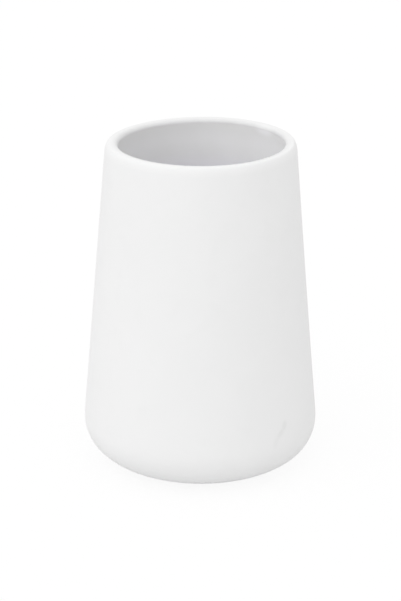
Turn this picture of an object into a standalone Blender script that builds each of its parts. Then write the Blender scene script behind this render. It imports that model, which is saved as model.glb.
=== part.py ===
"""Toothbrush tumbler: a slip-cast porcelain cup that leans in towards its mouth.

The porcelain is glazed inside, wears a soft-touch coat outside, and stands on four silicone pads
seated in pockets under its foot. Metres, +Z up; the origin lies on the counter, on the cup's axis.
"""

import math

import bmesh
import bpy
from mathutils import Vector

MM = 0.001

# The finished cup's outline
CUP_HEIGHT = 112.0 * MM  # counter to the crest of the lip
MOUTH_RADIUS = 31.55 * MM  # the straight side, carried up to the height of the crest
HAUNCH_RADIUS = 39.95 * MM  # where the straight side meets the lower round
ROUND_HEIGHT = 15.1 * MM  # foot plane to the top of the lower round
FOOT_RADIUS = 24.0 * MM  # the flat, unglazed foot
WALL = 4.2 * MM  # level through the side, and upright through the floor

# The lip: an outer round, a level crest and an inner round
LIP_RISE = 3.1 * MM  # height of the outer round
LIP_EASE = 1.15 * MM  # width of the outer round
LIP_DROP = 1.5 * MM  # height of the inner round
LIP_TURN = 1.7 * MM  # width of the inner round

# The soft-touch coat
COAT_THICKNESS = 0.3 * MM
SEAT_GAP = 0.3 * MM  # left between any two pieces that touch

# The underside
PAD_PROUD = 0.6 * MM  # what the pads hold the foot off the counter
PAD_RADIUS = 4.2 * MM
PAD_EDGE = 0.6 * MM  # round of the pad's lower edge
PAD_COUNT = 4
POCKET_DEPTH = 1.3 * MM
POCKET_CLEARANCE = 0.3 * MM  # pad's side to the pocket's wall
POCKET_MARGIN = 2.0 * MM  # pocket to the rim of the foot
DISH_DEPTH = 1.0 * MM  # hollow in the middle of the foot, which keeps it level in the kiln
DISH_MARGIN = 2.0 * MM  # dish to the pockets
DISH_FLARE = 1.0 * MM  # how far the dish's side slopes out
FOOT_EDGE = 0.25 * MM  # chamfer sponged on the rim of the foot

# How finely the turned pieces are faceted
CUP_SEGMENTS = 60
PAD_SEGMENTS = 28
ROUND_STEPS = 8
LIP_STEPS = 5
EDGE_STEPS = 3
MERGE_DISTANCE = 0.001 * MM
CUT_OVERRUN = 1.0 * MM
SMOOTH_LIMIT = math.radians(32)

# Sizes that follow from the ones above
FOOT_Z = PAD_PROUD
HAUNCH_Z = FOOT_Z + ROUND_HEIGHT
SIDE_SLOPE = (MOUTH_RADIUS - HAUNCH_RADIUS) / (CUP_HEIGHT - HAUNCH_Z)
SET_BACK = COAT_THICKNESS + SEAT_GAP
POCKET_RADIUS = PAD_RADIUS + POCKET_CLEARANCE
PAD_CIRCLE = FOOT_RADIUS - POCKET_MARGIN - POCKET_RADIUS
DISH_RIM = PAD_CIRCLE - POCKET_RADIUS - DISH_MARGIN
SEAT_Z = FOOT_Z + POCKET_DEPTH - SEAT_GAP


def clear_scene():
    for old in list(bpy.data.objects):
        bpy.data.objects.remove(old, do_unlink=True)


def make_material(name, colour, roughness, metallic=0.0):
    material = bpy.data.materials.new(name)
    material.use_nodes = True
    shader = material.node_tree.nodes["Principled BSDF"]
    shader.inputs["Base Color"].default_value = (*colour, 1.0)
    shader.inputs["Roughness"].default_value = roughness
    shader.inputs["Metallic"].default_value = metallic
    return material


def place(name, mesh, parent, location=(0, 0, 0)):
    piece = bpy.data.objects.new(name, mesh)
    bpy.context.scene.collection.objects.link(piece)
    piece.location = location
    piece.parent = parent
    return piece


def turned_mesh(name, profile, segments, material, closed=False):
    """Turns a profile of (radius, height) points round the Z axis.

    An open profile starts and ends on the axis; a closed one is a ring's cross-section.
    """
    shape = bmesh.new()
    corners = [shape.verts.new((point.x, 0, point.y)) for point in profile]
    edges = [shape.edges.new(pair) for pair in zip(corners, corners[1:])]
    if closed:
        edges.append(shape.edges.new((corners[-1], corners[0])))
    bmesh.ops.spin(
        shape,
        geom=corners + edges,
        cent=(0, 0, 0),
        axis=(0, 0, 1),
        angle=2 * math.pi,
        steps=segments,
        use_merge=True,
    )
    bmesh.ops.remove_doubles(shape, verts=shape.verts, dist=MERGE_DISTANCE)
    bmesh.ops.recalc_face_normals(shape, faces=shape.faces)
    mesh = bpy.data.meshes.new(name)
    shape.to_mesh(mesh)
    shape.free()
    mesh.materials.append(material)
    mesh.shade_smooth()
    mesh.set_sharp_from_angle(angle=SMOOTH_LIMIT)
    return mesh


def quarter_turn(steps, start=0.0):
    """Angles from start to a right angle."""
    end = math.pi / 2
    return [start + (end - start) * step / steps for step in range(steps + 1)]


# The cup's section is a straight side with an elliptical round at each end of it. Each curve below
# gives its point at an angle and at a depth under the finished surface, so the coat's two faces,
# the porcelain's set-back face and its inner wall all come from the same outline.


def side_radius(height):
    return HAUNCH_RADIUS + SIDE_SLOPE * (height - HAUNCH_Z)


def lower_round(angle, depth):
    """From the foot, where it is level, up to the haunch, where it runs along the side."""
    height = HAUNCH_Z - (ROUND_HEIGHT - depth) * math.cos(angle)
    reach = side_radius(height) - depth - FOOT_RADIUS
    return Vector((FOOT_RADIUS + reach * math.sin(angle), height))


def outer_lip(angle, depth):
    """From the side up to the crest."""
    height = CUP_HEIGHT - LIP_RISE + (LIP_RISE - depth) * math.sin(angle)
    inward = LIP_EASE - (LIP_EASE - depth) * math.cos(angle)
    return Vector((side_radius(height) - inward, height))


def inner_lip(angle, depth):
    """From the crest down to the inner wall."""
    height = CUP_HEIGHT - LIP_DROP + (LIP_DROP - depth) * math.cos(angle)
    inward = WALL - LIP_TURN + (LIP_TURN - depth) * math.sin(angle)
    return Vector((side_radius(height) - inward, height))


def skin(depth, start=0.0):
    """The outline from the foot, up the side and over the lip to the inner wall."""
    lower = [lower_round(angle, depth) for angle in quarter_turn(ROUND_STEPS, start)]
    outer = [outer_lip(angle, depth) for angle in quarter_turn(LIP_STEPS)]
    inner = [inner_lip(angle, depth) for angle in quarter_turn(LIP_STEPS)]
    return lower + outer + inner


def body_profile():
    """Porcelain: bare at the foot, set back for the coat outside, and flush with it inside."""
    foot = [
        Vector((0, FOOT_Z + DISH_DEPTH)),
        Vector((DISH_RIM - DISH_FLARE, FOOT_Z + DISH_DEPTH)),
        Vector((DISH_RIM, FOOT_Z)),
        Vector((FOOT_RADIUS - FOOT_EDGE, FOOT_Z)),
        Vector((FOOT_RADIUS, FOOT_Z + FOOT_EDGE)),
    ]
    ledge_z = CUP_HEIGHT - LIP_DROP - SEAT_GAP
    inner_radius = side_radius(ledge_z) - WALL
    ledge = [Vector((inner_radius + SET_BACK, ledge_z)), Vector((inner_radius, ledge_z))]
    inside = [lower_round(angle, WALL) for angle in quarter_turn(ROUND_STEPS)]
    return foot + skin(SET_BACK) + ledge + inside[::-1] + [Vector((0, FOOT_Z + WALL))]


def coat_profile():
    """The coat's section, which starts a seat's gap outside the foot and ends inside the lip."""
    start = math.asin(SEAT_GAP / (side_radius(FOOT_Z) - FOOT_RADIUS))
    return skin(0, start) + skin(COAT_THICKNESS, start)[::-1]


def pad_profile():
    """A silicone bumper, flat on both faces, with its lower edge rounded. Its top is at zero."""
    flat_radius = PAD_RADIUS - PAD_EDGE
    edge_z = PAD_EDGE - SEAT_Z
    edge = [
        Vector((flat_radius + PAD_EDGE * math.sin(angle), edge_z - PAD_EDGE * math.cos(angle)))
        for angle in quarter_turn(EDGE_STEPS)
    ]
    return [Vector((0, -SEAT_Z))] + edge + [Vector((PAD_RADIUS, 0)), Vector((0, 0))]


def pad_centres():
    """Evenly round the foot, half a step off the X axis."""
    step = 2 * math.pi / PAD_COUNT
    turns = [step * (number + 0.5) for number in range(PAD_COUNT)]
    return [(PAD_CIRCLE * math.cos(turn), PAD_CIRCLE * math.sin(turn)) for turn in turns]


def pocket_cutter():
    """A short cylinder for each pad, from under the foot up to the pocket's floor."""
    shape = bmesh.new()
    height = POCKET_DEPTH + CUT_OVERRUN
    centre_z = FOOT_Z + POCKET_DEPTH - height / 2
    for x, y in pad_centres():
        cylinder = bmesh.ops.create_cone(
            shape,
            cap_ends=True,
            segments=PAD_SEGMENTS,
            radius1=POCKET_RADIUS,
            radius2=POCKET_RADIUS,
            depth=height,
        )
        bmesh.ops.translate(shape, verts=cylinder["verts"], vec=(x, y, centre_z))
    mesh = bpy.data.meshes.new("pocket_cutter")
    shape.to_mesh(mesh)
    shape.free()
    cutter = place("pocket_cutter", mesh, None)
    cutter.hide_render = True
    cutter.display_type = "WIRE"
    return cutter


def make_body(tumbler):
    porcelain = make_material("glazed_porcelain", (0.84, 0.84, 0.86), roughness=0.12)
    mesh = turned_mesh("porcelain_body", body_profile(), CUP_SEGMENTS, porcelain)
    body = place("porcelain_body", mesh, tumbler)
    pockets = body.modifiers.new("pockets", "BOOLEAN")
    pockets.operation = "DIFFERENCE"
    pockets.solver = "EXACT"
    pockets.object = pocket_cutter()


def make_coat(tumbler):
    soft_touch = make_material("soft_touch_white", (0.86, 0.86, 0.86), roughness=0.75)
    mesh = turned_mesh("soft_touch_coat", coat_profile(), CUP_SEGMENTS, soft_touch, closed=True)
    place("soft_touch_coat", mesh, tumbler)


def make_pads(tumbler):
    silicone = make_material("clear_silicone", (0.72, 0.73, 0.74), roughness=0.4)
    mesh = turned_mesh("foot_pad", pad_profile(), PAD_SEGMENTS, silicone)
    for number, (x, y) in enumerate(pad_centres(), start=1):
        place(f"foot_pad_{number}", mesh, tumbler, (x, y, SEAT_Z))


def main():
    clear_scene()
    tumbler = place("tumbler", None, None)
    make_body(tumbler)
    make_coat(tumbler)
    make_pads(tumbler)


main()
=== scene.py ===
"""The looks of the toothbrush tumbler: a glazed porcelain cup in a soft-touch coat, on silicone pads."""

import math

import bpy
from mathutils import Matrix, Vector


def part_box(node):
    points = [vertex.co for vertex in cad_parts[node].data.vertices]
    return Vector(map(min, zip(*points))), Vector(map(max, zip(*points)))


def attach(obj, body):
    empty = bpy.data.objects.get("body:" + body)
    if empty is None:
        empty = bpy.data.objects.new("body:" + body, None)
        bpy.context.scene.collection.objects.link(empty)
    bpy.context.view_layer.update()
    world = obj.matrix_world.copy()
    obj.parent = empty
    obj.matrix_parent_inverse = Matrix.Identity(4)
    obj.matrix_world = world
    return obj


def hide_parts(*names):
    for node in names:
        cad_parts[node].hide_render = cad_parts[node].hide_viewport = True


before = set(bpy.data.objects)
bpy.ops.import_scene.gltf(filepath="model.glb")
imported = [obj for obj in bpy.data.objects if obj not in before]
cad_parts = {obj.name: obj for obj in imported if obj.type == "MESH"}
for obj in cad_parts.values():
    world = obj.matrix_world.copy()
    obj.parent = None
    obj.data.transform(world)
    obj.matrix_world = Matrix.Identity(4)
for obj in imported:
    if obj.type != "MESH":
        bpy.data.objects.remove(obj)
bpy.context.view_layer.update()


# The porcelain cup. Slip is cast in a plaster mould, fired bare on its flat foot and glazed inside;
# the outside is left bare for its coat. Four shallow pockets are pressed into the foot for the pads.

MM = 0.001

cup_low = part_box("porcelain_body")[0]
coat_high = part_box("soft_touch_coat")[1]
pad_low, pad_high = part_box("foot_pad_1")

LIP_Z = coat_high.z  # the crest of the lip
FOOT_Z = cup_low.z
ROUND_HEIGHT = 15.1 * MM  # foot to haunch, where the lower round meets the straight side
ROUND_SWELL = 0.06 * MM  # the lower round is widest a little under the haunch, by this much
HAUNCH_RADIUS = coat_high.x - ROUND_SWELL
HAUNCH_Z = FOOT_Z + ROUND_HEIGHT
MOUTH_RADIUS = 31.55 * MM  # the straight side, carried up to the height of the crest
SIDE_SLOPE = (MOUTH_RADIUS - HAUNCH_RADIUS) / (LIP_Z - HAUNCH_Z)
WALL = 4.2 * MM  # level through the side, and upright through the floor
LIP_RISE = 3.1 * MM  # height of the lip's outer round
LIP_EASE = 1.15 * MM  # and its width
LIP_DROP = 1.5 * MM  # height of the lip's inner round
LIP_TURN = 1.7 * MM  # and its width

FOOT_RADIUS = 24.0 * MM
FOOT_EDGE = 0.3 * MM  # round that the sponge leaves on the rim of the foot
DISH_RADIUS = 11.0 * MM
DISH_FLARE = 1.0 * MM  # how far the dish's side slopes in
DISH_DEPTH = 1.0 * MM
DISH_EASE = 0.25 * MM  # how far its two corners are softened

COAT_THICKNESS = 0.3 * MM
COAT_FEATHER = 0.06 * MM  # what is left of the coat's thickness at its two edges
HAIRLINE = 0.02 * MM  # kept between surfaces that touch
GLAZE_RUN = 1.2 * MM  # height in which the glaze comes level with the edge of the coat
MOUTH_LEAN = 0.22 * MM  # how far the firing left the mouth out of level: it leans up towards +X,
MOUTH_TWIST = 0.18 * MM  # it is twisted between its four quarters,
MOUTH_DROP = 0.27 * MM  # and it sank by this much in its middle
SIDE_SAG = 0.11 * MM  # how far the side towards +X sank in, half way up
ROUND_SLUMP = 0.22 * MM  # how far the lower round swelled out on that side,
ROUND_TILT = 0.06 * MM  # and how far it sank there and rose on the other
CORE_SHIFT = Vector((0.21, 0.22)) * MM  # how far off centre the slip left the inside, at the mouth,
CORE_SPREAD = 0.15 * MM  # and how much wider than meant

PAD_CENTRE_X = (pad_low.x + pad_high.x) / 2
PAD_CENTRE_Y = (pad_low.y + pad_high.y) / 2
PAD_RADIUS = (pad_high.x - pad_low.x) / 2
PAD_COUNT = 4
POCKET_CLEARANCE = 0.3 * MM  # pad's side to the pocket's wall
POCKET_EASE = 0.2 * MM  # flare at the mouth of the pocket
GLUE_LINE = 0.05 * MM
CUT_OVERRUN = 1.0 * MM

CUP_STEPS = 192  # round the axis
PAD_STEPS = 64
ROUND_STEPS = 20
SIDE_STEPS = 26
LIP_STEPS = 10
FOOT_STEPS = 6
EDGE_STEPS = 4
WELD = 0.0005 * MM  # corners closer than this are one
CREASE = math.radians(34)  # edges sharper than this stay sharp


# The cup's section is a straight side with an elliptical round at each end of it. Each curve below
# gives its point at an angle and at a depth under the finished surface.


def side_radius(height):
    return HAUNCH_RADIUS + SIDE_SLOPE * (height - HAUNCH_Z)


def quarter(steps, start=0.0):
    """Angles from start to a right angle."""
    return [start + (math.pi / 2 - start) * step / steps for step in range(steps + 1)]


def lower_round(angle, depth):
    """From the foot, where it is level, up to the haunch."""
    height = HAUNCH_Z - (HAUNCH_Z - FOOT_Z - depth) * math.cos(angle)
    reach = side_radius(height) - depth - FOOT_RADIUS
    return Vector((FOOT_RADIUS + reach * math.sin(angle), height))


def outer_lip(angle, depth):
    """From the side up to the crest."""
    height = LIP_Z - LIP_RISE + (LIP_RISE - depth) * math.sin(angle)
    inward = LIP_EASE - (LIP_EASE - depth) * math.cos(angle)
    return Vector((side_radius(height) - inward, height))


def inner_lip(angle, depth):
    """From the crest down to the inner wall."""
    height = LIP_Z - LIP_DROP + (LIP_DROP - depth) * math.cos(angle)
    inward = WALL - LIP_TURN + (LIP_TURN - depth) * math.sin(angle)
    return Vector((side_radius(height) - inward, height))


def between(start, end, steps):
    """The points that divide a straight run, without its ends."""
    return [start.lerp(end, step / steps) for step in range(1, steps)]


def face_of_cup(edge_depth, depth, foot_start=0.0):
    """From the foot, up the side and over the lip, at a depth that eases to edge_depth at both ends."""
    points = []
    eased = math.pi / 2 * EDGE_STEPS / ROUND_STEPS  # angle at which the full depth is reached
    for angle in quarter(ROUND_STEPS, foot_start):
        ease = min(angle / eased, 1)
        points.append(lower_round(angle, edge_depth + (depth - edge_depth) * ease))
    lip = [outer_lip(angle, depth) for angle in quarter(LIP_STEPS)]
    points += between(points[-1], lip[0], SIDE_STEPS) + lip
    for angle in quarter(LIP_STEPS):
        ease = math.cos(angle)
        points.append(inner_lip(angle, edge_depth + (depth - edge_depth) * ease))
    return points


def turn(name, profile, steps):
    """Draws a profile of (radius, height) points out from one corner, then spins it round the Z axis."""
    bpy.ops.object.select_all(action="DESELECT")
    bpy.ops.mesh.primitive_plane_add(size=WALL)
    piece = bpy.context.object
    piece.name = name
    bpy.ops.object.mode_set(mode="EDIT")
    bpy.ops.mesh.select_all(action="SELECT")
    bpy.ops.mesh.merge(type="CENTER")
    bpy.ops.transform.translate(value=(profile[0].x, 0, profile[0].y))
    for here, there in zip(profile, profile[1:]):
        step = there - here
        bpy.ops.mesh.extrude_region_move(TRANSFORM_OT_translate={"value": (step.x, 0, step.y)})
    bpy.ops.mesh.select_all(action="SELECT")
    bpy.ops.mesh.spin(steps=steps, angle=2 * math.pi, center=(0, 0, 0), axis=(0, 0, 1))
    bpy.ops.mesh.select_all(action="SELECT")
    bpy.ops.mesh.remove_doubles(threshold=WELD)
    bpy.ops.mesh.normals_make_consistent(inside=False)
    bpy.ops.object.mode_set(mode="OBJECT")
    bpy.ops.object.shade_smooth_by_angle(angle=CREASE)
    return piece


FULLEST_SLUMP = 27 / 256  # the most that low ** 3 * (1 - low) comes to, a quarter of the way up


def settle(piece):
    """Leaves a piece as the mould and the kiln leave it, a little out of true.

    The side's sag is deepest half way between haunch and mouth, the mouth's lean grows from the
    haunch up, and the slump lies below the haunch. The shift of the inside grows with the height
    and fades out through the lip, so it never reaches the outside.
    """
    for corner in piece.data.vertices:
        x, y, z = corner.co
        across = x / MOUTH_RADIUS
        along = y / MOUTH_RADIUS
        high = max((z - HAUNCH_Z) / (LIP_Z - HAUNCH_Z), 0)
        low = min(max((HAUNCH_Z - z) / ROUND_HEIGHT, 0), 1)
        slump = low ** 3 * (1 - low) / FULLEST_SLUMP
        deep = side_radius(z) - math.hypot(x, y)
        inside = min(max((deep - LIP_EASE) / (WALL - LIP_EASE), 0), 1) * high
        swell = ROUND_SLUMP * slump - SIDE_SAG * math.sin(math.pi * high)
        lean = MOUTH_LEAN * across + MOUTH_TWIST * across * along - MOUTH_DROP
        corner.co.x += swell * max(across, 0) + (CORE_SHIFT.x + CORE_SPREAD * across) * inside
        corner.co.y += (CORE_SHIFT.y + CORE_SPREAD * along) * inside
        corner.co.z += lean * high - ROUND_TILT * across * slump


def foot_profile():
    """The bare underside, from the middle of its dish out to the sponged rim."""
    dish_z = FOOT_Z + DISH_DEPTH
    inner = Vector((DISH_RADIUS - DISH_FLARE, dish_z))
    outer = Vector((DISH_RADIUS, FOOT_Z))
    rim = Vector((FOOT_RADIUS - FOOT_EDGE, FOOT_Z))
    points = [Vector((0, dish_z))]
    points += between(points[0], inner, FOOT_STEPS)
    points += [inner - Vector((DISH_EASE, 0)), inner.lerp(outer, DISH_EASE / DISH_FLARE)]
    points += [outer.lerp(inner, DISH_EASE / DISH_FLARE), outer + Vector((DISH_EASE, 0))]
    points += between(points[-1], rim, FOOT_STEPS)
    for angle in quarter(EDGE_STEPS):
        points.append(rim + FOOT_EDGE * Vector((math.sin(angle), 1 - math.cos(angle))))
    return points


def inside_profile():
    """The glazed inside, from the edge of the coat down to the middle of the floor."""
    edge = inner_lip(math.pi / 2, COAT_FEATHER + HAIRLINE)
    run_z = edge.y - GLAZE_RUN
    run = Vector((side_radius(run_z) - WALL, run_z))
    low = [lower_round(angle, WALL) for angle in quarter(ROUND_STEPS)]
    middle = Vector((0, FOOT_Z + WALL))
    points = between(edge, run, EDGE_STEPS) + [run]
    points += between(run, low[-1], SIDE_STEPS) + low[::-1]
    return points + between(low[0], middle, FOOT_STEPS) + [middle]


def pocket_cutter():
    """The plug that leaves a pocket: as deep as the pad's seat, and flared where it leaves the foot."""
    radius = PAD_RADIUS + POCKET_CLEARANCE
    top = pad_high.z + GLUE_LINE
    profile = [
        Vector((0, top)),
        Vector((radius, top)),
        Vector((radius, FOOT_Z + POCKET_EASE)),
        Vector((radius + POCKET_EASE, FOOT_Z)),
        Vector((radius + POCKET_EASE, FOOT_Z - CUT_OVERRUN)),
        Vector((0, FOOT_Z - CUT_OVERRUN)),
    ]
    return turn("pocket_cutter", profile, PAD_STEPS)


def pad_places():
    """Evenly round the foot, from the first pad's place."""
    first = Vector((PAD_CENTRE_X, PAD_CENTRE_Y))
    circle = first.length
    start = math.atan2(first.y, first.x)
    turns = [start + 2 * math.pi * number / PAD_COUNT for number in range(PAD_COUNT)]
    return [Vector((circle * math.cos(turned), circle * math.sin(turned), 0)) for turned in turns]


def put(piece, place):
    """Carries a piece to its place and leaves the place in its mesh."""
    bpy.ops.object.select_all(action="DESELECT")
    bpy.context.view_layer.objects.active = piece
    piece.select_set(True)
    piece.location = place
    bpy.ops.object.transform_apply(location=True, rotation=True, scale=True)
    return piece


def copy_of(piece, name):
    """A copy with a mesh of its own."""
    twin = piece.copy()
    twin.data = piece.data.copy()
    twin.name = name
    bpy.context.scene.collection.objects.link(twin)
    return twin


def cut_pockets(piece):
    """Cuts a pocket for each pad, and clears the slivers that the cuts leave."""
    plug = pocket_cutter()
    for place in pad_places():
        cutter = put(copy_of(plug, "pocket_cutter_here"), place)
        pocket = piece.modifiers.new("pocket", "BOOLEAN")
        pocket.operation = "DIFFERENCE"
        pocket.solver = "EXACT"
        pocket.object = cutter
        bpy.ops.object.select_all(action="DESELECT")
        bpy.context.view_layer.objects.active = piece
        bpy.ops.object.modifier_apply(modifier=pocket.name)
        bpy.data.objects.remove(cutter)
    bpy.data.objects.remove(plug)
    bpy.ops.object.mode_set(mode="EDIT")
    bpy.ops.mesh.select_all(action="SELECT")
    bpy.ops.mesh.dissolve_degenerate(threshold=WELD)
    bpy.ops.object.mode_set(mode="OBJECT")
    piece.select_set(True)
    bpy.ops.object.shade_smooth_by_angle(angle=CREASE)


outside = face_of_cup(COAT_FEATHER + HAIRLINE, COAT_THICKNESS + HAIRLINE)
cup = turn("cup", foot_profile() + outside + inside_profile(), CUP_STEPS)
settle(cup)
cut_pockets(cup)


def new_material(name):
    """A material, its nodes and the shader among them."""
    material = bpy.data.materials.new(name)
    material.use_nodes = True
    return material, material.node_tree, material.node_tree.nodes["Principled BSDF"]


def add(tree, kind, settings=(), **sockets):
    """Adds a node. Its own settings come as pairs.

    A socket goes by its name, or by _ and its number, and takes a value or another node's socket.
    """
    node = tree.nodes.new(kind)
    for setting, value in settings:
        setattr(node, setting, value)
    for name, value in sockets.items():
        socket = node.inputs[int(name[1:])] if name[1:].isdigit() else node.inputs[name.replace("_", " ")]
        if isinstance(value, bpy.types.NodeSocket):
            tree.links.new(value, socket)
        else:
            socket.default_value = value
    return node


def mathed(tree, operation, first, second=0.0, clamp=False):
    """One step of arithmetic."""
    settings = (("operation", operation), ("use_clamp", clamp))
    return add(tree, "ShaderNodeMath", settings, _0=first, _1=second).outputs[0]


def mixed(tree, share, first, second, blend="MIX"):
    """A colour that goes from the first to the second as the share goes from 0 to 1."""
    settings = (("data_type", "RGBA"), ("blend_type", blend))
    return add(tree, "ShaderNodeMix", settings, _0=share, _6=first, _7=second).outputs[2]


def ranged(tree, value, low, high, low_out=0.0, high_out=1.0, smooth=True):
    """Takes a value from between low and high to between low_out and high_out, and no further."""
    settings = (("interpolation_type", "SMOOTHSTEP" if smooth else "LINEAR"),)
    ends = {"_1": low, "_2": high, "_3": low_out, "_4": high_out}
    return add(tree, "ShaderNodeMapRange", settings, _0=value, **ends).outputs[0]


FINER_SHARE = 0.5  # height of the finer grains against the bed of grains under them
MOTTLE_LOW = 0.3  # the noise behind a mottle seldom goes under this
MOTTLE_HIGH = 0.7  # or over this


def make_grain():
    """Fine grain as a height: a soft bed of grains with finer ones on them. Used by all four finishes."""
    group = bpy.data.node_groups.new("fine_grain", "ShaderNodeTree")
    group.interface.new_socket("Grain Size", in_out="INPUT", socket_type="NodeSocketFloat")
    group.interface.new_socket("Height", in_out="OUTPUT", socket_type="NodeSocketFloat")
    inlet = group.nodes.new("NodeGroupInput")
    outlet = group.nodes.new("NodeGroupOutput")
    place = add(group, "ShaderNodeTexCoord").outputs["Object"]
    scale = mathed(group, "DIVIDE", 1.0, inlet.outputs["Grain Size"])
    bed = add(group, "ShaderNodeTexNoise", Vector=place, Scale=scale, Detail=2.0, Roughness=0.55)
    cells = add(group, "ShaderNodeTexVoronoi", (("feature", "SMOOTH_F1"),), Vector=place, Scale=scale)
    rounded = mathed(group, "MULTIPLY", cells.outputs["Distance"], -FINER_SHARE)
    height = mathed(group, "ADD", bed.outputs[0], rounded)
    group.links.new(height, outlet.inputs["Height"])
    return group


def make_mottle():
    """Slow unevenness of a finish, from 0 to 1 with its mean near a half."""
    group = bpy.data.node_groups.new("slow_mottle", "ShaderNodeTree")
    group.interface.new_socket("Patch Size", in_out="INPUT", socket_type="NodeSocketFloat")
    group.interface.new_socket("Amount", in_out="OUTPUT", socket_type="NodeSocketFloat")
    inlet = group.nodes.new("NodeGroupInput")
    outlet = group.nodes.new("NodeGroupOutput")
    place = add(group, "ShaderNodeTexCoord").outputs["Object"]
    scale = mathed(group, "DIVIDE", 1.0, inlet.outputs["Patch Size"])
    patches = add(group, "ShaderNodeTexNoise", Vector=place, Scale=scale,
                  Detail=3.0, Roughness=0.5, Distortion=0.4)
    amount = ranged(group, patches.outputs[0], MOTTLE_LOW, MOTTLE_HIGH)
    group.links.new(amount, outlet.inputs["Amount"])
    return group


FINE_GRAIN = make_grain()
SLOW_MOTTLE = make_mottle()


def grain_in(tree, size):
    """The height of the grain, for grains of a size."""
    group = tree.nodes.new("ShaderNodeGroup")
    group.node_tree = FINE_GRAIN
    group.inputs["Grain Size"].default_value = size
    return group.outputs["Height"]


def mottle_in(tree, size):
    """The mottle, in patches of a size."""
    group = tree.nodes.new("ShaderNodeGroup")
    group.node_tree = SLOW_MOTTLE
    group.inputs["Patch Size"].default_value = size
    return group.outputs["Amount"]


def bump_in(tree, height, distance, under=None):
    """The normal that a height gives, on top of the normal under it if there is one."""
    bump = add(tree, "ShaderNodeBump", Height=height, Distance=distance, Strength=1.0)
    if under is not None:
        tree.links.new(under, bump.inputs["Normal"])
    return bump.outputs[0]


MARK_REACH = 3.0 * MM  # how far in from the surface a mark's mask goes
MARK_CORE = 0.8  # share of the way in from its edge at which a mark is at full strength


def mark_in(tree, place, spot, slant, azimuth, length, width, strength):
    """A long soft-edged mark round a spot on a wall, from 0 outside it to its strength in its middle."""
    size = (width / 2, MARK_REACH, length / 2)
    turned = add(tree, "ShaderNodeMapping", (("vector_type", "TEXTURE"),), Vector=place,
                 Location=spot, Rotation=(0, slant, azimuth), Scale=size).outputs[0]
    ball = add(tree, "ShaderNodeTexGradient", (("gradient_type", "SPHERICAL"),), Vector=turned)
    return ranged(tree, ball.outputs["Fac"], 0.0, MARK_CORE, 0.0, strength)


def spot_on_wall(radius, azimuth, height):
    """A place on a wall of the cup, at an azimuth from the front."""
    return (radius * math.sin(azimuth), -radius * math.cos(azimuth), height)


# A painted highlight just inside the lip at the back on the right, and beside it a faint painted line
# of shade. Each has its azimuth from the front, height, length, width and strength.
PAINTED_HIGHLIGHT_PATCH = (math.radians(130), LIP_Z - 1.2 * MM, 6.5 * MM, 12.0 * MM, 0.9)
PAINTED_SHADE_LINE = (math.radians(116), LIP_Z - 3.1 * MM, 1.7 * MM, 8.0 * MM, 0.8)


def inside_mark(tree, place, azimuth, height, length, width, strength):
    """A mark on the inner wall."""
    spot = spot_on_wall(side_radius(height) - WALL, azimuth, height)
    return mark_in(tree, place, spot, 0, azimuth, length, width, strength)


# The glaze's colours from the lip down, which carry painted shade and light: the one at the lip is
# painted shade, and the ring is painted light with a cool lilac tint of shade. Each starts to come in
# at one depth under the crest of the lip and is all there at another; the upper one starts at the crest.
GLAZE_PAINTED_SHADE_AT_LIP = (0.844, 0.842, 0.836, 1)
GLAZE_UPPER = (0.945, 0.945, 0.948, 1)
GLAZE_RING_PAINTED_LIGHT = (0.964, 0.955, 0.995, 1)
GLAZE_DEEP = (0.942, 0.941, 0.951, 1)
UPPER_FULL = 9 * MM
RING_STARTS = 11 * MM
RING_FULL = 19 * MM
DEEP_STARTS = 24 * MM
DEEP_FULL = 45 * MM

GLAZE_PAINTED_SHADE_LEFT = (0.884, 0.884, 0.881, 1)  # painted shade: what it keeps of its colour towards -X, the side that the light leaves darker
GLAZE_CLOUDED = (0.990, 0.990, 0.986, 1)  # and what its clouds keep
# Painted shade for the line inside the lip, and a painted highlight for the patch beside it.
GLAZE_PAINTED_SHADE_LINE = (0.860, 0.858, 0.855, 1)
GLAZE_PAINTED_HIGHLIGHT = (0.96, 0.96, 0.97, 1)
GLAZE_CLOUD_SIZE = 14 * MM
GLAZE_CLOUD_RISE = 0.05 * MM
GLAZE_GLOSSY = 0.3  # roughness where it is glossiest
GLAZE_SATIN = 0.4  # and where it is dullest
GLAZE_SHEEN_SIZE = 5 * MM
GLAZE_PEEL_SIZE = 0.6 * MM  # the fine orange peel of a fired glaze
GLAZE_PEEL_RISE = 0.006 * MM


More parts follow.
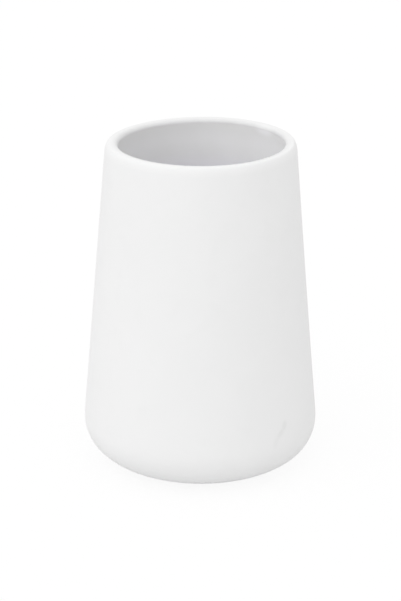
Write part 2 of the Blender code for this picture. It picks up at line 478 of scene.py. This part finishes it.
def make_glaze():
    """A satin white glaze with painted light and shade in its colour: darker at the lip and towards -X,
    lighter and cool lilac lower down, and a painted highlight with a painted line of shade inside the
    lip.
    """
    material, tree, shader = new_material("satin_glaze")
    place = add(tree, "ShaderNodeTexCoord").outputs["Object"]
    split = add(tree, "ShaderNodeSeparateXYZ", Vector=place)
    height = split.outputs["Z"]
    # Painted shade at the lip, then a ring of painted light with a cool lilac tint of shade.
    shade_at_lip = ranged(tree, height, LIP_Z - UPPER_FULL, LIP_Z)
    ring_share = ranged(tree, height, LIP_Z - RING_STARTS, LIP_Z - RING_FULL)
    deep = ranged(tree, height, LIP_Z - DEEP_STARTS, LIP_Z - DEEP_FULL)
    upper = mixed(tree, shade_at_lip, GLAZE_UPPER, GLAZE_PAINTED_SHADE_AT_LIP)
    ring = mixed(tree, ring_share, upper, GLAZE_RING_PAINTED_LIGHT)
    body = mixed(tree, deep, ring, GLAZE_DEEP)
    # Painted shade: the inside grows darker towards -X.
    shade_towards_left = ranged(tree, split.outputs["X"], MOUTH_RADIUS, -MOUTH_RADIUS)
    sided = mixed(tree, shade_towards_left, body, GLAZE_PAINTED_SHADE_LEFT, "MULTIPLY")
    clouds = mottle_in(tree, GLAZE_CLOUD_SIZE)
    clouded = mixed(tree, clouds, sided, GLAZE_CLOUDED, "MULTIPLY")
    # The painted line of shade and the painted highlight inside the lip.
    shade_lined = mixed(tree, inside_mark(tree, place, *PAINTED_SHADE_LINE), clouded, GLAZE_PAINTED_SHADE_LINE)
    with_painted_light = mixed(tree, inside_mark(tree, place, *PAINTED_HIGHLIGHT_PATCH), shade_lined, GLAZE_PAINTED_HIGHLIGHT)
    tree.links.new(with_painted_light, shader.inputs["Base Color"])
    sheen = ranged(tree, mottle_in(tree, GLAZE_SHEEN_SIZE), 0, 1, GLAZE_GLOSSY, GLAZE_SATIN)
    tree.links.new(sheen, shader.inputs["Roughness"])
    slow = bump_in(tree, clouds, GLAZE_CLOUD_RISE)
    peel = bump_in(tree, grain_in(tree, GLAZE_PEEL_SIZE), GLAZE_PEEL_RISE, slow)
    tree.links.new(peel, shader.inputs["Normal"])
    return material


CLAY = (0.80, 0.785, 0.755, 1)
CLAY_PALE = (0.83, 0.82, 0.80, 1)
CLAY_PATCH_SIZE = 9 * MM
SPECK = (0.42, 0.37, 0.31, 1)
SPECK_SPACING = 1.6 * MM
SPECK_CORE_SHARE = 0.05  # of the spacing, out to which a speck is at its full strength
SPECK_EDGE_SHARE = 0.12  # of the spacing, at which it has faded out
SPECK_STRENGTH = 0.35
GRIT_SIZE = 0.22 * MM
GRIT_RISE = 0.04 * MM


def make_bisque():
    """Unglazed porcelain: dry, a little warm, with fine specks and the grit of the kiln shelf."""
    material, tree, shader = new_material("bare_porcelain")
    place = add(tree, "ShaderNodeTexCoord").outputs["Object"]
    cells = add(tree, "ShaderNodeTexVoronoi", Vector=place, Scale=1 / SPECK_SPACING)
    speck = ranged(tree, cells.outputs["Distance"], SPECK_CORE_SHARE, SPECK_EDGE_SHARE, 1.0, 0.0)
    clay = mixed(tree, mottle_in(tree, CLAY_PATCH_SIZE), CLAY, CLAY_PALE)
    specked = mixed(tree, mathed(tree, "MULTIPLY", speck, SPECK_STRENGTH), clay, SPECK)
    tree.links.new(specked, shader.inputs["Base Color"])
    shader.inputs["Roughness"].default_value = 0.92
    shader.inputs["Specular IOR Level"].default_value = 0.3
    grit = bump_in(tree, grain_in(tree, GRIT_SIZE), GRIT_RISE)
    tree.links.new(grit, shader.inputs["Normal"])
    return material


def pour_glaze(piece):
    """The glaze goes on the inside; every face that looks out or down stays bare."""
    bare_slot = 1
    for face in piece.data.polygons:
        middle = face.center
        outwards = Vector((middle.x, middle.y, 0)).dot(face.normal) > 0
        under_floor = middle.z < FOOT_Z + WALL / 2
        face.material_index = bare_slot if under_floor or outwards else 0


cup.data.materials.clear()
cup.data.materials.append(make_glaze())
cup.data.materials.append(make_bisque())
pour_glaze(cup)
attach(cup, "root")
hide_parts("porcelain_body")


# The soft-touch coat. A matte white paint with a rubbery feel, sprayed over the outside and the lip
# with the foot and the inside masked off, so it thins out to an edge at both masks.

FOOT_MASK = 0.3 * MM  # bare porcelain left between the foot's rim and the coat
EDGE_WAVER = 0.1 * MM  # how far the edge inside the lip strays from level
WAVER_REACH = 0.5 * MM  # how far up the coat that is felt
EDGE_WAVES = ((3, 0.7, 0.5), (7, 2.1, 0.3), (13, 4.0, 0.2))  # each one's count, start and share

coat_start = math.asin(FOOT_MASK / (side_radius(FOOT_Z) - FOOT_RADIUS))
coat_skin = face_of_cup(0.0, 0.0, coat_start)
coat_back = face_of_cup(COAT_FEATHER, COAT_THICKNESS, coat_start)
coat = turn("coat", coat_skin + coat_back[::-1] + coat_skin[:1], CUP_STEPS)


def waver(piece, edge_z):
    """Lets the masked edge wander up and down a little, and what is above it less and less."""
    for corner in piece.data.vertices:
        rise = (corner.co.z - edge_z) / WAVER_REACH
        inside = math.hypot(corner.co.x, corner.co.y) < side_radius(corner.co.z) - WALL / 2
        if inside and 0 <= rise < 1:
            around = math.atan2(corner.co.y, corner.co.x)
            sway = sum(share * math.sin(count * around + start) for count, start, share in EDGE_WAVES)
            corner.co.z += EDGE_WAVER * sway * (1 - rise)


waver(coat, LIP_Z - LIP_DROP)
settle(coat)


# The rub, low on the right of the front, in three strokes that run into each other: down, slanting
# away and down again, ever paler. Each has its azimuth from the front, height, slant from upright,
# length, width and strength.
RUB_STROKES = (
    (math.radians(45.3), 21.8 * MM, math.radians(15), 5.2 * MM, 3.2 * MM, 0.85),
    (math.radians(42.6), 19.6 * MM, math.radians(51), 7.0 * MM, 3.1 * MM, 0.7),
    (math.radians(39.2), 17.0 * MM, math.radians(22), 6.6 * MM, 3.1 * MM, 0.38),
)


def rub_in(tree, place):
    """All the strokes as one mask."""
    mask = 0.0
    for azimuth, height, slant, length, width, strength in RUB_STROKES:
        spot = spot_on_wall(side_radius(height), azimuth, height)
        stroke = mark_in(tree, place, spot, slant, azimuth, length, width, strength)
        mask = mathed(tree, "MAXIMUM", stroke, mask)
    return mask


PAINT = (0.857, 0.857, 0.857, 1)
PAINT_PALE = (0.865, 0.865, 0.865, 1)
PAINT_HANDLED = (0.845, 0.845, 0.845, 1)
PAINT_RUBBED = (0.806, 0.806, 0.804, 1)
PAINT_SHADED_INNER_LIP = (0.790, 0.788, 0.790, 1)  # painted shade over the lip's inner round, where it turns down into the cup
PAINT_CLOUD_SIZE = 18 * MM
PAINT_CLOUD_RISE = 0.03 * MM
HANDLED_SIZE = 7 * MM
HANDLED_FROM = 0.72  # of the mottle, so that only its peaks are marked
HANDLED_STRENGTH = 0.35
PAINT_DRY = 0.8  # roughness as sprayed
PAINT_POLISHED = 0.6  # and where hands have been
PAINT_GRAIN_SIZE = 0.25 * MM
PAINT_GRAIN_RISE = 0.012 * MM
FLATTENED = (1, 1, 0)  # leaves a place its way out from the axis, without its height


def make_soft_touch():
    """White rubbery paint: dead matte, a very fine grain, faint marks of handling and one rub, with
    painted shade on the lip's inner round and a painted highlight inside it.
    """
    material, tree, shader = new_material("soft_touch_paint")
    place = add(tree, "ShaderNodeTexCoord").outputs["Object"]
    clouds = mottle_in(tree, PAINT_CLOUD_SIZE)
    paint = mixed(tree, clouds, PAINT, PAINT_PALE)
    handled = ranged(tree, mottle_in(tree, HANDLED_SIZE), HANDLED_FROM, 1.0)
    marked = mixed(tree, mathed(tree, "MULTIPLY", handled, HANDLED_STRENGTH), paint, PAINT_HANDLED)
    rubbed = rub_in(tree, place)
    worn = mixed(tree, rubbed, marked, PAINT_RUBBED)
    level = add(tree, "ShaderNodeVectorMath", (("operation", "MULTIPLY"),), _0=place, _1=FLATTENED)
    out = add(tree, "ShaderNodeVectorMath", (("operation", "LENGTH"),), _0=level.outputs[0])
    # Painted shade: the coat darker over the lip's inner round, where it turns down into the cup.
    inner_lip_shade = ranged(tree, out.outputs["Value"], MOUTH_RADIUS - LIP_EASE, MOUTH_RADIUS - WALL)
    # The painted highlight inside the lip lifts the painted shade there.
    inner_lip_shade = mathed(tree, "SUBTRACT", inner_lip_shade, inside_mark(tree, place, *PAINTED_HIGHLIGHT_PATCH), clamp=True)
    with_painted_light = mixed(tree, inner_lip_shade, worn, PAINT_SHADED_INNER_LIP)
    tree.links.new(with_painted_light, shader.inputs["Base Color"])
    polished = ranged(tree, mathed(tree, "MAXIMUM", handled, rubbed), 0, 1, PAINT_DRY, PAINT_POLISHED)
    tree.links.new(polished, shader.inputs["Roughness"])
    shader.inputs["Specular IOR Level"].default_value = 0.3
    slow = bump_in(tree, clouds, PAINT_CLOUD_RISE)
    grain = bump_in(tree, grain_in(tree, PAINT_GRAIN_SIZE), PAINT_GRAIN_RISE, slow)
    tree.links.new(grain, shader.inputs["Normal"])
    return material


coat.data.materials.clear()
coat.data.materials.append(make_soft_touch())
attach(coat, "root")
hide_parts("soft_touch_coat")


# The foot pads. Four clear silicone discs, moulded with a rounded lower edge and a faint dimple,
# each glued into its pocket so that it holds the foot just off the counter.

PAD_EDGE = 0.6 * MM  # round of the pad's lower edge
PAD_LIP = 0.15 * MM  # round at the top of the pad, inside the pocket
DIMPLE_RADIUS = 2.2 * MM
DIMPLE_DEPTH = 0.08 * MM


def pad_profile():
    """From the middle of the dimple, out and round the lower edge, up to the middle of the top."""
    points = []
    for step in range(FOOT_STEPS + 1):
        share = step / FOOT_STEPS
        dip = DIMPLE_DEPTH * (1 + math.cos(math.pi * share)) / 2
        points.append(Vector((DIMPLE_RADIUS * share, pad_low.z + dip)))
    round_centre = Vector((PAD_RADIUS - PAD_EDGE, pad_low.z + PAD_EDGE))
    for angle in quarter(LIP_STEPS):
        points.append(round_centre + PAD_EDGE * Vector((math.sin(angle), -math.cos(angle))))
    top_centre = Vector((PAD_RADIUS - PAD_LIP, pad_high.z - PAD_LIP))
    for angle in quarter(EDGE_STEPS):
        points.append(top_centre + PAD_LIP * Vector((math.cos(angle), math.sin(angle))))
    return points + [Vector((0, pad_high.z))]


SILICONE = (0.80, 0.81, 0.82, 1)
SILICONE_MILKY = (0.86, 0.87, 0.88, 1)
MILK_SIZE = 3 * MM
SILICONE_SLEEK = 0.32  # roughness where the mould was smoothest
SILICONE_DULL = 0.45  # and where it was dullest
SILICONE_SHEEN_SIZE = 1.5 * MM
MOULD_GRAIN_SIZE = 0.15 * MM
MOULD_GRAIN_RISE = 0.008 * MM


def make_silicone():
    """Clear silicone gone a little milky, with a fine matte grain from the mould."""
    material, tree, shader = new_material("clear_silicone")
    milk = mixed(tree, mottle_in(tree, MILK_SIZE), SILICONE, SILICONE_MILKY)
    tree.links.new(milk, shader.inputs["Base Color"])
    sheen = ranged(tree, mottle_in(tree, SILICONE_SHEEN_SIZE), 0, 1, SILICONE_SLEEK, SILICONE_DULL)
    tree.links.new(sheen, shader.inputs["Roughness"])
    shader.inputs["IOR"].default_value = 1.41
    shader.inputs["Transmission Weight"].default_value = 0.55
    grain = bump_in(tree, grain_in(tree, MOULD_GRAIN_SIZE), MOULD_GRAIN_RISE)
    tree.links.new(grain, shader.inputs["Normal"])
    return material


silicone = make_silicone()
pad_pattern = turn("pad", pad_profile(), PAD_STEPS)
pad_pattern.data.materials.clear()
pad_pattern.data.materials.append(silicone)
for number, place in enumerate(pad_places(), start=1):
    pad = put(copy_of(pad_pattern, f"pad_{number}"), place)
    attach(pad, "root")
    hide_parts(f"foot_pad_{number}")
bpy.data.objects.remove(pad_pattern)


# The counter. A plain pale sheet, so wide that its edge never shows; to the camera and to mirrors it
# is nearly all paper white, and what is left of its own shading keeps the cup's soft shadow.

COUNTER_HALF = 3.0
PAPER_SHARE = 0.9  # what of the sheet's look is paper white
COUNTER_WHITE = 0.96  # as the camera and mirrors see it
COUNTER_GIVES = 0.82  # as it lights the cup from below


def seen_in(tree):
    """1 for what the camera sees, itself or in a mirror or through glass, and 0 for light on things."""
    path = add(tree, "ShaderNodeLightPath")
    seen = mathed(tree, "MAXIMUM", path.outputs["Is Camera Ray"], path.outputs["Is Glossy Ray"])
    return mathed(tree, "MAXIMUM", seen, path.outputs["Is Transmission Ray"])


def make_sheet_white():
    """Dull paper, which looks whiter than the light that it gives back."""
    material, tree, shader = new_material("counter_sheet")
    seen = seen_in(tree)
    shade = ranged(tree, seen, 0, 1, COUNTER_GIVES, COUNTER_WHITE, smooth=False)
    tree.links.new(shade, shader.inputs["Base Color"])
    shader.inputs["Roughness"].default_value = 0.95
    shader.inputs["Specular IOR Level"].default_value = 0.0
    share = mathed(tree, "MULTIPLY", seen, PAPER_SHARE)
    paper = add(tree, "ShaderNodeEmission", Color=(1, 1, 1, 1), Strength=1.0)
    mixer = add(tree, "ShaderNodeMixShader", _0=share, _1=shader.outputs[0], _2=paper.outputs[0])
    tree.links.new(mixer.outputs[0], tree.nodes["Material Output"].inputs["Surface"])
    return material


bpy.ops.object.select_all(action="DESELECT")
bpy.ops.mesh.primitive_plane_add(size=2 * COUNTER_HALF)
counter = bpy.context.object
counter.name = "counter"
counter.data.materials.append(make_sheet_white())


# The light. An even white room, and one very broad soft light from the front left and above.

ROOM_LOW = 0.80  # the room's light from the horizon
ROOM_HIGH = 1.02  # and from straight above
KEY_STRENGTH = 0.575
KEY_AZIMUTH = math.radians(-43)  # from the front towards the left
KEY_HEIGHT = math.radians(43)
KEY_SPREAD = math.radians(70)

world = bpy.data.worlds.new("white_room")
world.use_nodes = True
bpy.context.scene.world = world
room = world.node_tree
way = add(room, "ShaderNodeTexCoord").outputs["Generated"]
rise = add(room, "ShaderNodeSeparateXYZ", Vector=way).outputs["Z"]
given = ranged(room, rise, 0, 1, ROOM_LOW, ROOM_HIGH, smooth=False)
strength = ranged(room, seen_in(room), 0, 1, given, 1.0, smooth=False)
backdrop = room.nodes["Background"]
backdrop.inputs["Color"].default_value = (1, 1, 1, 1)
room.links.new(strength, backdrop.inputs["Strength"])

key = bpy.data.lights.new("key", "SUN")
key.energy = KEY_STRENGTH
key.angle = KEY_SPREAD
key_lamp = bpy.data.objects.new("key", key)
bpy.context.scene.collection.objects.link(key_lamp)
towards = Vector((
    math.sin(KEY_AZIMUTH) * math.cos(KEY_HEIGHT),
    -math.cos(KEY_AZIMUTH) * math.cos(KEY_HEIGHT),
    math.sin(KEY_HEIGHT),
))
key_lamp.rotation_euler = towards.to_track_quat("Z", "Y").to_euler()


# The camera. It stands in front and looks down on the cup, from where the mouth shows as a flat oval.

PICTURE_WIDTH = 401
PICTURE_HEIGHT = 601
FOCAL_PIXELS = 1900
LOOK_DOWN = math.radians(20.68)
CAMERA_ROLL = math.radians(0.165)
DISTANCE = 645.1 * MM
AIM_Z = 55.64 * MM
SENSOR = 36.0  # width of the film in mm, the unit of a lens too

lens = bpy.data.cameras.new("camera")
lens.sensor_width = SENSOR
lens.lens = FOCAL_PIXELS * SENSOR / max(PICTURE_WIDTH, PICTURE_HEIGHT)
camera = bpy.data.objects.new("camera", lens)
bpy.context.scene.collection.objects.link(camera)
back = Vector((0, -math.cos(LOOK_DOWN), math.sin(LOOK_DOWN)))
camera.location = Vector((0, 0, AIM_Z)) + DISTANCE * back
aim = back.to_track_quat("Z", "Y")
camera.rotation_euler = aim.to_euler()
camera.rotation_euler.rotate_axis("Z", CAMERA_ROLL)
bpy.context.scene.camera = camera
bpy.context.scene.view_settings.view_transform = "Standard"
bpy.context.scene.cycles.diffuse_bounces = 12  # light goes back and forth inside a white cup
